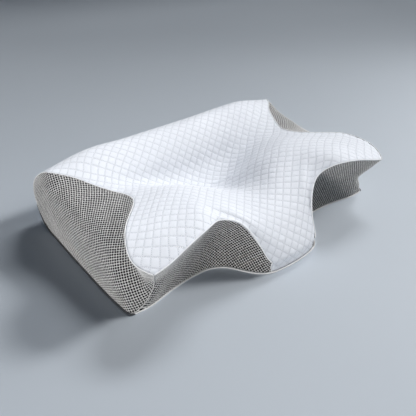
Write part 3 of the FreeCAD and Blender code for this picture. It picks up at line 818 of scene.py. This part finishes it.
def net(panel, name, node, kind):
    """Knitted threads round every hole; the hole walls and a sheet just under the threads are painted near
    black, as shade in the holes.
    """
    turn, hole = PATTERN_TURN[kind], HOLE_HALF[kind]
    reach = np.abs(panel.flat).sum(axis=-1).max()
    line = np.arange(-math.ceil(reach / HOLE_PITCH), math.ceil(reach / HOLE_PITCH) + 1) * HOLE_PITCH
    centres = np.stack(np.meshgrid(line, line, indexing="ij"), -1).reshape(-1, 2)
    spin = np.array([[math.cos(turn), math.sin(turn)], [-math.sin(turn), math.cos(turn)]])
    low, high = panel.flat.min(axis=(0, 1)), panel.flat.max(axis=(0, 1))
    turned = centres @ spin
    centres = centres[((turned > low) & (turned < high)).all(axis=1)]
    centres = centres[panel.located(centres @ spin)[1] < OFF_PANEL]
    corner = (abs(EIGHT).sum(axis=1) > 1).astype(float)
    round_hole = EIGHT * (1 - HOLE_CORNER_CUT * corner)[:, None]
    wobble = np.random.default_rng(len(centres)).normal(size=(len(centres), 1, 2)) * HOLE_UNEVEN * hole
    rings = []
    for spread, lift, dip in NET_RINGS:
        size = HOLE_PITCH / 2 * (1 - spread) + hole * spread
        outline = EIGHT * (1 - spread) + round_hole * spread
        spots = centres[:, None] + outline[None] * size + wobble * spread
        spot, _ = panel.located(spots.reshape(-1, 2) @ spin)
        rings.append(panel.at(spot, (lift - dip * corner[None] + np.zeros((len(centres), 1))).ravel()))
    points = np.stack([ring.reshape(-1, 8, 3) for ring in rings], axis=1)
    index = np.arange(points.size // 3).reshape(points.shape[:3])
    # the hole walls take the painted hole shade
    inside = np.zeros(index[:, :-1].shape, int)
    inside[:, -1] = 1
    points, quads, inside = welded(points.reshape(-1, 3), ring_quads(index), inside.ravel())
    made = Build()
    made.add(points, quads if panel_facing(panel, points, quads) else quads[:, ::-1], points[:, :2] / MM)
    made.make(name, [NET, NET_HOLE_SHADE], "pillow", (node,), material_of=inside)
    # painted shade: a near-black sheet just under the threads, seen through the holes
    i, k = np.meshgrid(np.linspace(0, PANEL_ALONG - 1, SHADE_SHEET_ALONG),
                       np.linspace(0, PANEL_DOWN - 1, SHADE_SHEET_DOWN), indexing="ij")
    back = Build()
    back.grid(panel.at(np.stack([i, k], -1), np.full(i.shape, -SHADE_SHEET_DEPTH)), panel.flip)
    back.make(name + "_backing", [NET_HOLE_SHADE], "pillow", ())


def welded(points, faces, kind):
    """Join points that coincide, and drop faces that have collapsed."""
    _, first, back = np.unique(np.round(points / (0.02 * MM)).astype(np.int64), axis=0,
                               return_index=True, return_inverse=True)
    points, faces = points[first], back.ravel()[faces]
    distinct = (np.diff(np.sort(faces, axis=1), axis=1) > 0).all(axis=1)
    kept = distinct & (np.linalg.norm(face_normals(points, faces), axis=1) > 0.02 * MM**2)
    return points, faces[kept], kind[kept]


def panel_facing(panel, points, quads):
    """True if the net's flat crown already faces outwards."""
    across = face_normals(points, quads)
    outward = panel.normals.reshape(-1, 3)
    places = panel.grid.reshape(-1, 3)
    pick = np.linspace(0, len(quads) - 1, 60).astype(int)
    votes = 0.0
    for k in pick:
        centre = points[quads[k]].mean(axis=0)
        votes += across[k] @ outward[np.argmin(((places - centre) ** 2).sum(axis=1))]
    return votes > 0


def wall_panels():
    fine_u = evenly(500, ACROSS)
    front = np.concatenate([[LOBE_RIGHT], fine_u[fine_u > LOBE_RIGHT]])
    down = evenly(90, DOWN)
    walls = {}
    for hand, front_u, sign in (("right", front, 1), ("left", 1 - front, -1)):
        walls[hand + "_side"] = Panel(on_sheet(hand, evenly(400, ALONG), down), OUTWARD[hand])
        walls[hand + "_front"] = Panel(on_sheet("front", front_u, down), sign * OUTWARD["front"])
    return walls


# ---------------------------------------------------------------- seams

STITCH_LENGTH = 3.2 * MM
BEAD = 1.05 * MM
SIDE_BEAD = 0.8 * MM
CORNER_BEAD = 0.7 * MM


def smoothed(path, rounds=6):
    path = path.copy()
    for _ in range(rounds):
        path[1:-1] = path[1:-1] * 0.5 + (path[:-2] + path[2:]) * 0.25
    return path


def stitched_bead(made, path, normals, radius, lift, pinch=0.05):
    """Turned fabric edge along a seam, pinched a little at every stitch."""
    run = run_along(path)
    even = np.linspace(0, run[-1], int(run[-1] / (1.0 * MM)))
    normals = unit(at_distances(even, run, normals))
    path = smoothed(at_distances(even, run, path)) + normals * lift
    squeeze = 1 - pinch * (0.5 + 0.5 * np.cos(even / STITCH_LENGTH * 2 * math.pi)) ** 2
    taper = smoothstep(0, 2 * MM, np.minimum(even, even[-1] - even)) * 0.9 + 0.1
    made.tube(path, radius * squeeze * taper, 10, up=normals)


WALLS = wall_panels()
for key, wall in WALLS.items():
    net(wall, key + "_net", key + "_mesh", key.split("_")[1])


def seam_beads():
    hems = Build()
    corners = Build()
    for key, wall in WALLS.items():
        side = key.endswith("side")
        stitched_bead(hems, *wall.edge("top"), SIDE_BEAD if side else BEAD, 0.1 * MM)
        if side:
            stitched_bead(corners, *wall.edge("start"), CORNER_BEAD, 0.0)
        else:
            stitched_bead(hems, *wall.edge("start"), BEAD, 0.1 * MM)
    hems.make("turned_hems", [HEM], "pillow", ())
    corners.make("corner_seams", [NET], "pillow", ())


seam_beads()


# ---------------------------------------------------------------- base, piping

PIPING_RADIUS = 1.3 * MM
PIPING_OUT = 2.0 * MM
PIPING_LIFT = 0.1 * MM
FLANGE_RADIUS = 0.8 * MM
# painted shade: where the piping turns to its near-black copy
PIPING_SHADE_FROM_Y = -125 * MM
PIPING_SHADE_FROM_X = 294 * MM


def base_panel():
    u, v = evenly(321, ACROSS), evenly(241, ALONG)
    points = on_sheet("base", u, v)
    normals = grid_normals(points, OUTWARD["base"])
    i, j = np.meshgrid(np.arange(321), np.arange(241), indexing="ij")
    edge = np.minimum(np.minimum(i, 320 - i), np.minimum(j, 240 - j))
    inset = np.interp(edge, [0, 1, 2, 4, 9], [2.6, 1.2, 0.9, 0.35, 0.0]) * MM
    slack = 0.35 * MM * (1 + low_noise(points, 45 * MM, 5)) * smoothstep(2, 20, edge)
    channel = np.where((edge >= 5) & (edge <= 6), 0.4 * MM, 0.0)
    points = points - normals * (inset + slack + channel)[..., None]
    points[..., 2] = np.maximum(points[..., 2], 0.0)
    made = Build()
    made.grid(points, OUTWARD["base"] < 0)
    made.make("base_cover", [BASE_CLOTH], "pillow", ("base_panel",))


def piping_path():
    u, v = evenly(900, ACROSS), evenly(600, ALONG)
    base = on_sheet("base", u, v)
    normals = grid_normals(base, OUTWARD["base"])
    ring = np.concatenate([base[0, ::-1], base[1:-1, 0], base[-1]])
    down = np.concatenate([normals[0, ::-1], normals[1:-1, 0], normals[-1]])
    run = run_along(ring)
    even = np.linspace(0, run[-1], int(run[-1] / (0.8 * MM)))
    ring = at_distances(even, run, ring)
    down = unit(at_distances(even, run, down))
    outward = smoothed(unit(np.cross(np.gradient(ring, axis=0), -down)), 12)
    return smoothed(ring, 12), unit(outward), -down, even


def base_piping():
    ring, outward, up, run = piping_path()
    centre = smoothed(ring + outward * PIPING_OUT + up * (PIPING_RADIUS + PIPING_LIFT), 20)
    angle = np.linspace(0, 2 * math.pi, 14, endpoint=False)
    twist = run[:, None] / (2.6 * MM) * 2 * math.pi
    ripple = 1 + 0.018 * np.sin(twist + angle[None]) + 0.012 * low_noise(centre, 11 * MM, 9)[:, None]
    made = Build()
    made.tube(centre, PIPING_RADIUS, 14, up=up, ripple=ripple)
    flange = smoothed(ring + outward * PIPING_OUT * 0.42 + up * (FLANGE_RADIUS + 0.5 * MM), 12)
    made.tube(flange, FLANGE_RADIUS, 8, up=up)
    middle = made.centres()
    # painted shade: the piping behind the front and past the ends takes the near-black copy; the front
    # keeps the piping's own white
    shaded = (middle[:, 1] > PIPING_SHADE_FROM_Y) | (abs(middle[:, 0]) > PIPING_SHADE_FROM_X)
    made.make("piped_edge", [PIPING, PIPING_SHADE], "pillow", ("base_piping",),
              material_of=shaded.astype(int))


base_panel()
base_piping()


# ---------------------------------------------------------------- zip

CHAIN_HALF = 230 * MM
TAPE_HALF = 290 * MM
TAPE_SPAN = (0.8 * MM, 6.2 * MM)
TAPE_LEVELS = (2.05 * MM, 2.6 * MM)
COIL_SPAN = (-0.25 * MM, 2.9 * MM)
COIL_LEVELS = (0.25 * MM, 1.95 * MM)
COIL_PITCH = 1.6 * MM
COIL_WIRE = 0.32 * MM
BAND_MIDDLE = (BAND_TOP + BAND_BOTTOM) / 2 * np.array([0, 1, 1])
BAND_UP = unit((BAND_TOP - BAND_BOTTOM) * np.array([0, 1, 1]))
BAND_IN = np.cross([1.0, 0.0, 0.0], BAND_UP)


def on_band(x, w, depth):
    x, w, depth = np.broadcast_arrays(x, w, depth)
    place = BAND_MIDDLE + w[..., None] * BAND_UP + depth[..., None] * BAND_IN
    place[..., 0] += x
    return place


def zip_tape(side, name, node):
    """Woven tape with a raised rib and two rows of stitches."""
    count = int(2 * TAPE_HALF / (0.9 * MM))
    x = np.linspace(-TAPE_HALF, TAPE_HALF, count)[:, None]
    w = np.linspace(*TAPE_SPAN, 15)[None]
    rib = 0.12 * MM * np.exp(-((w - 3.6 * MM) / (0.35 * MM)) ** 2)
    weave = 0.04 * MM * np.sin(x / (1.8 * MM) * math.pi) * np.sin(w / (0.8 * MM) * math.pi)
    dash = np.maximum(np.sin(x / (2.8 * MM) * 2 * math.pi), 0) ** 0.5
    stitch = 0.22 * MM * np.exp(-((w - 5.4 * MM) / (0.25 * MM)) ** 2) * dash
    top = on_band(x, side * w, TAPE_LEVELS[0] - rib - weave - stitch)
    under = on_band(x, side * w, np.broadcast_to(TAPE_LEVELS[1], (count, 15)))
    made = Build()
    made.grid(top, side > 0)
    made.grid(under, side < 0)
    for pair, flip in ((0, side < 0), (-1, side > 0)):
        made.grid(np.stack([top[:, pair], under[:, pair]], 1), flip)
        made.grid(np.stack([top[pair], under[pair]], 1), not flip)
    made.make(name, [TAPE], "pillow", (node,))


def zip_coil(side, name, node):
    """Row of nylon loops; the two rows interlock half a pitch apart."""
    turns = int(2 * CHAIN_HALF / COIL_PITCH) - 1
    angle = np.linspace(0, turns * 2 * math.pi, turns * 14 + 1)
    x = -CHAIN_HALF + COIL_PITCH * (0.5 + angle / (2 * math.pi) + (0.5 if side > 0 else 0.0))
    (middle, reach), (level, rise) = (((low + high) / 2, (high - low) / 2 - COIL_WIRE)
                                      for low, high in (COIL_SPAN, COIL_LEVELS))
    path = on_band(x, side * (middle + reach * np.cos(angle)), level + rise * np.sin(angle))
    made = Build()
    made.tube(path, COIL_WIRE, 6, up=BAND_IN + np.array([0.2, 0, 0]))
    count = int(2 * CHAIN_HALF / (0.8 * MM))
    line = np.linspace(-CHAIN_HALF, CHAIN_HALF, count)
    dash = 1 + 0.25 * np.sin(line / COIL_PITCH * 2 * math.pi)
    for w in (1.5 * MM, 2.2 * MM):
        made.tube(on_band(line, side * w, 0.35 * MM), 0.22 * MM * dash, 6, up=-BAND_IN)
    made.make(name, [COIL], "pillow", (node,))


for hand, side in (("upper", 1), ("lower", -1)):
    zip_tape(side, hand + "_zip_tape_woven", f"zip_{hand}_tape")
    zip_coil(side, hand + "_zip_chain", f"zip_{hand}_coil")


# ---------------------------------------------------------------- label

LABEL_HALF = 0.22 * MM         # half its thickness
LABEL_ROLL = 0.38 * MM         # radius of the fold at the hinge
LABEL_CURL = 0.5 * MM
LABEL_SEAM_IN = 1.8 * MM
LABEL_STITCH = 2.2 * MM


def care_label():
    """Blank satin tab, folded over at the top and sewn along its edges."""
    low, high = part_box("care_label")
    hinge = next(np.array(j["pos_m"]) for j in frame["joints"] if j["name"] == "label_flap")
    tip = np.array([0.0, high.y - hinge[1], low.z - hinge[2]])
    reach = np.linalg.norm(tip)
    down = tip / reach
    out = np.cross([1.0, 0.0, 0.0], down)
    width = high.x - low.x
    a, b = np.linspace(0, 1, 61)[:, None], np.linspace(0, 1, 43)[None]
    rim = np.minimum(np.minimum(a, 1 - a) * width, (1 - b) * reach)
    sewn = np.exp(-((rim - LABEL_SEAM_IN) / (0.3 * MM)) ** 2)
    dash = np.maximum(np.sin((a * width + b * reach) / LABEL_STITCH * 2 * math.pi), 0)
    curl = LABEL_CURL * np.sin(math.pi * b) * (0.6 + 0.4 * np.cos(2 * math.pi * a))
    thick = LABEL_HALF * (1 + 0.25 * np.exp(-(rim / (0.8 * MM)) ** 2)) - 0.1 * MM * sewn * (1 - dash)
    across = a[..., None] * np.array([width, 0, 0])
    base = np.array([low.x, hinge[1], hinge[2]]) + across + b[..., None] * down * reach
    front = base + (curl + thick)[..., None] * out
    back = base + (curl - thick)[..., None] * out
    made = Build()
    made.grid(front, True)
    made.grid(back)
    made.grid(np.stack([front[0], back[0]], 1))
    made.grid(np.stack([front[-1], back[-1]], 1), True)
    made.grid(np.stack([front[:, -1], back[:, -1]], 1))
    line = np.linspace(low.x, high.x, 40)
    roll = np.stack([line, np.full(40, hinge[1]), np.full(40, hinge[2])], -1)
    made.tube(roll, LABEL_ROLL, 12)
    made.make("care_tab", [LABEL], "label", ("care_label",))


care_label()

# ---------------------------------------------------------------- CAD pieces that keep their shape

NODE_MATERIALS = {"foam_core": FOAM, "liner_top": LINER, "liner_base": LINER, "zip_slider": METAL,
                  "zip_pull_tab": METAL, "zip_top_stop": METAL, "zip_bottom_stop": METAL}
for name, material in NODE_MATERIALS.items():
    mesh = frame["nodes"][name].data
    mesh.materials.clear()
    mesh.materials.append(material)


# ---------------------------------------------------------------- studio

VIEW_TURN = math.radians(39.89)        # how far the camera stands to the left of the front
VIEW_DOWN = math.radians(32.94)
VIEW_PLACE = (-0.578, -0.666, 0.578)
VIEW_LENS = 43.81
FLOOR_LOW = (0.70, 0.765, 0.84)
FLOOR_HIGH = (0.73, 0.795, 0.87)
FLOOR_REACH = 4.0
WALL_START = 3.0
WALL_CURVE = 1.2
WALL_TOP = 4.0
GLOW = (0.78, 0.87, 1.0, 1.0)
GLOW_STRENGTH = 0.065
WALL_SEEN = (0.40, 0.44, 0.49, 1.0)
WARM = (1.0, 0.99, 0.98)
COOL = (0.97, 0.98, 1.0)
PILLOW_MIDDLE = (0.0, 0.0, 0.08)


def floor_material():
    g = Graph("studio_floor")
    return g.finish(g.ramp(g.noise(1.3, 2.0), 0.3, 0.7, FLOOR_LOW, FLOOR_HIGH), 0.55, specular=0.25)


def studio():
    """Pale floor that curves up into a wall behind the object."""
    made = bpy.data.meshes.new("floor")
    profile = [(-FLOOR_REACH, 0.0), (WALL_START, 0.0)]
    for t in np.linspace(0.1, math.pi / 2, 12):
        profile.append((WALL_START + WALL_CURVE * math.sin(t), WALL_CURVE * (1 - math.cos(t))))
    profile.append((WALL_START + WALL_CURVE, WALL_TOP))
    points, faces = [], []
    toward = np.array([math.sin(VIEW_TURN), math.cos(VIEW_TURN)])
    across = np.array([toward[1], -toward[0]])
    for along, z in profile:
        for side in (-FLOOR_REACH, FLOOR_REACH):
            spot = toward * along + across * side
            points.append((spot[0], spot[1], z))
    for k in range(len(profile) - 1):
        faces.append((2 * k, 2 * k + 1, 2 * k + 3, 2 * k + 2))
    made.from_pydata(points, [], faces)
    made.polygons.foreach_set("use_smooth", [True] * len(faces))
    made.materials.append(floor_material())
    floor = placed("floor", made)
    floor.location.z = -0.2 * MM


def pillow_pieces():
    """Everything but the floor, for lights that leave the floor's shadow alone."""
    group = bpy.data.collections.new("pillow_pieces")
    for item in list(bpy.context.scene.objects):
        if item.type == "MESH" and item.name != "floor":
            group.objects.link(item)
    return group


def lamp(name, kind, power, colour, heading, axis):
    data = bpy.data.lights.new(name, kind)
    data.energy = power
    data.color = colour
    made = placed(name, data)
    made.rotation_euler = Vector(heading).to_track_quat(axis, "Y").to_euler()
    return made


def area_light(name, place, target, size, power, colour, pillow_only=False):
    made = lamp(name, "AREA", power, colour, Vector(target) - Vector(place), "-Z")
    made.location = place
    made.data.shape = "DISK"
    made.data.size = size
    if pillow_only:
        made.light_linking.receiver_collection = PILLOW_PIECES


def sun(name, toward, strength, spread, colour):
    lamp(name, "SUN", strength, colour, toward, "Z").data.angle = math.radians(spread)


def backdrop():
    """Weak blue light from everywhere; the camera itself sees a pale wall."""
    world = bpy.data.worlds.new("studio")
    world.use_nodes = True
    tree = world.node_tree
    glow = tree.nodes["Background"]
    glow.inputs[0].default_value = GLOW
    glow.inputs[1].default_value = GLOW_STRENGTH
    wall = tree.nodes.new("ShaderNodeBackground")
    wall.inputs[0].default_value = WALL_SEEN
    ray = tree.nodes.new("ShaderNodeLightPath")
    either = tree.nodes.new("ShaderNodeMixShader")
    tree.links.new(ray.outputs["Is Camera Ray"], either.inputs[0])
    tree.links.new(glow.outputs[0], either.inputs[1])
    tree.links.new(wall.outputs[0], either.inputs[2])
    tree.links.new(either.outputs[0], tree.nodes["World Output"].inputs[0])
    bpy.context.scene.world = world


def camera():
    data = bpy.data.cameras.new("camera")
    data.lens = VIEW_LENS
    data.sensor_width = 36
    view = placed("camera", data)
    view.location = VIEW_PLACE
    view.rotation_euler = (math.radians(90) - VIEW_DOWN, 0, -VIEW_TURN)
    bpy.context.scene.camera = view


studio()
PILLOW_PIECES = pillow_pieces()
sun("key", (1.0, -0.32, 0.64), 1.55, 12.0, (1.0, 0.99, 0.97))
sun("back_key", (1.0, 0.50, 0.95), 1.75, 24.0, (0.98, 0.99, 1.0))
area_light("right_glow", (1.35, -0.55, 0.95), (0.0, -0.1, 0.0), 0.9, 7.0, WARM)
area_light("side_fill", (-1.85, -0.80, 0.24), PILLOW_MIDDLE, 0.36, 19.0, (1.0, 0.98, 0.95), True)
area_light("front_fill", (0.25, -1.9, 0.30), PILLOW_MIDDLE, 0.40, 1.0, COOL, True)
area_light("bowl_fill", (-0.35, 0.30, 1.4), PILLOW_MIDDLE, 0.9, 8.5, COOL, True)
backdrop()
bpy.context.scene.view_settings.view_transform = "Standard"
camera()
